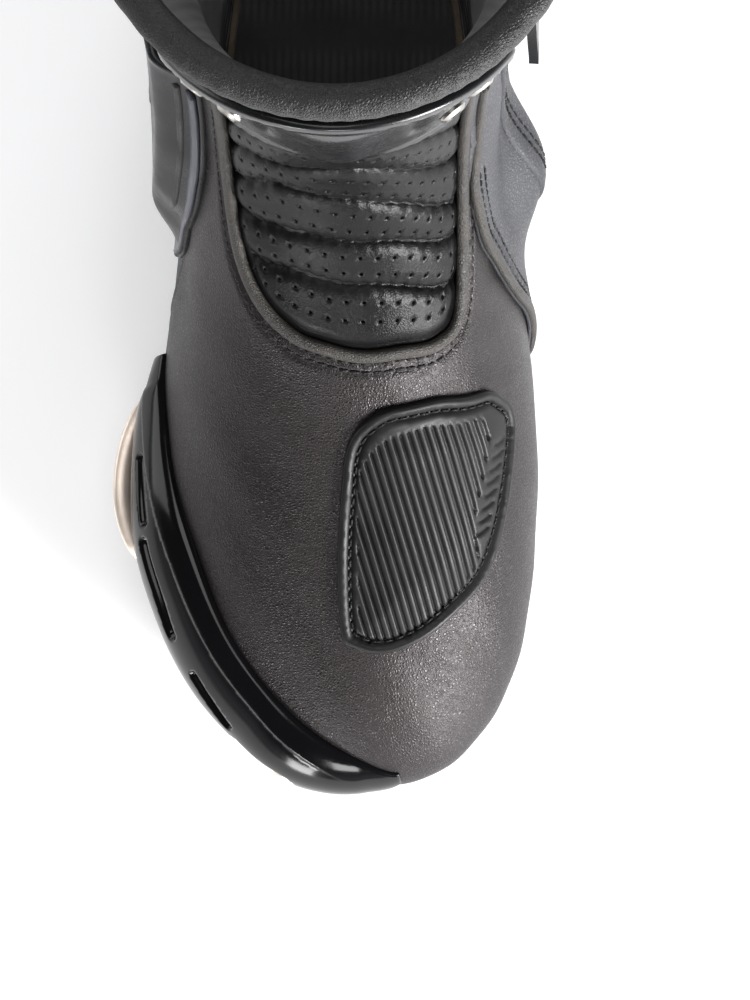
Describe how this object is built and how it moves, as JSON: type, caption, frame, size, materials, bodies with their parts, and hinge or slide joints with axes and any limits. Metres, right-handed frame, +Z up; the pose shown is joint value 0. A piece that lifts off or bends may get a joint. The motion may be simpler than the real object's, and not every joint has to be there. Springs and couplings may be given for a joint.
{
  "type": "riding boot",
  "caption": "Right riding boot in leather with an accordion instep, a rubber shift pad, a moulded toe slider, hinged ankle braces, shin and calf shells, a side zip and a top closure tab.",
  "frame": {"origin": "on the ground, on the face of the sole just in front of the arch, near the middle of the boot", "axes": "+Z up from the sole, -Y towards the toe, +X towards the inner (medial) side of this right boot"},
  "size_m": [0.1234, 0.3093, 0.3258],
  "materials": {
    "main_leather": "fine pebble grain, semi-matt, brown-black",
    "panel_leather": "fine pebble grain, semi-matt, warm grey-black",
    "stretch_leather": "smooth perforated leather in padded channels",
    "binding_leather": "folded smooth leather edge, brown-grey, satin",
    "lining_fabric": "fine knitted lining",
    "footbed_fabric": "foam footbed with textile top cover",
    "foam": "closed-cell padding foam with textile face",
    "collar_fabric": "soft padded collar, micro-suede face",
    "webbing": "woven polyester tape",
    "loop_pile": "hook-and-loop fastening face",
    "sole_rubber": "moulded tread rubber, matt",
    "midsole_rubber": "moulded sidewall rubber, satin",
    "pad_rubber": "moulded shift-pad rubber, satin",
    "pull_rubber": "rubberised zip pull",
    "gloss_shell": "injection-moulded polyurethane, gloss black",
    "matte_shell": "injection-moulded polyurethane, matt",
    "insole_board": "pressed insole board",
    "stiffener_board": "thermoformed stiffener sheet",
    "zip_plastic": "moulded zip chain",
    "zip_metal": "dark plated zip slider",
    "slider_metal": "champagne anodised, satin",
    "shank_steel": "spring steel strip",
    "screw_steel": "stainless socket-head screws and pins"
  },
  "bodies": {
    "foot": {"outsole": "sole_rubber", "midsole": "midsole_rubber", "shank": "shank_steel", "insole_board": "insole_board", "footbed": "footbed_fabric", "vamp": "main_leather", "quarter_medial": "panel_leather", "quarter_lateral": "main_leather", "instep_accordion": "stretch_leather", "achilles_accordion": "stretch_leather", "ankle_gaiter_lateral": "panel_leather", "ankle_gaiter_medial": "panel_leather", "lining_sock": "lining_fabric", "toe_puff": "stiffener_board", "heel_counter": "stiffener_board", "ankle_pad_lateral": "foam", "ankle_pad_medial": "foam", "instep_piping": "binding_leather", "shift_pad": "pad_rubber", "toe_slider_frame": "gloss_shell", "toe_slider_plate": "slider_metal", "toe_slider_screws": "screw_steel", "heel_cup": "gloss_shell", "heel_slider": "slider_metal", "heel_slider_screws": "screw_steel", "ankle_cup_lateral": "matte_shell", "pivot_pin_lateral": "screw_steel", "ankle_cup_medial": "matte_shell", "pivot_pin_medial": "screw_steel"},
    "shaft": {"shaft_front": "main_leather", "shaft_lateral": "main_leather", "shaft_medial": "main_leather", "shaft_rear": "main_leather", "shin_pad": "foam", "zip_gusset": "stretch_leather", "collar_roll": "collar_fabric", "shin_plate": "gloss_shell", "shin_plate_screws": "screw_steel", "calf_plate": "gloss_shell", "calf_plate_screws": "screw_steel", "ankle_brace_lateral": "gloss_shell", "brace_screws_lateral": "screw_steel", "ankle_brace_medial": "gloss_shell", "brace_screws_medial": "screw_steel", "zip_tape_front": "webbing", "zip_tape_rear": "webbing", "zip_teeth_front": "zip_plastic", "zip_teeth_rear": "zip_plastic", "zip_stops": "zip_plastic", "tab_loop_patch": "loop_pile", "tab_anchor": "panel_leather", "pull_loop": "webbing"},
    "zip_slider": {"zip_slider": "zip_metal"},
    "zip_pull": {"zip_pull": "pull_rubber"},
    "closure_tab": {"closure_tab": "panel_leather", "tab_hook_patch": "loop_pile"}
  },
  "joints": [
    {"name": "ankle_flex", "type": "hinge", "parent": "foot", "child": "shaft", "pos_m": [0, 0.072, 0.116], "axis": [1, 0, 0], "range_deg": [-10, 15], "stiffness_Nm_per_rad": 12, "deforming": ["instep_accordion", "achilles_accordion", "ankle_gaiter_lateral", "ankle_gaiter_medial", "lining_sock", "instep_piping"]},
    {"name": "zip_slide", "type": "slide", "parent": "shaft", "child": "zip_slider", "axis": [-0.0725, -0.0498, -0.9961], "range_m": [0, 0.072]},
    {"name": "zip_pull_swing", "type": "hinge", "parent": "zip_slider", "child": "zip_pull", "pos_m": [0.04468, 0.12257, 0.23937], "axis": [0.5334, -0.8458, 0.0035], "range_deg": [0, 100]},
    {"name": "closure_tab_open", "type": "hinge", "parent": "shaft", "child": "closure_tab", "pos_m": [0.0295, 0.13722, 0.27624], "axis": [0.0561, 0.0839, 0.9949], "range_deg": [0, 110]}
  ]
}
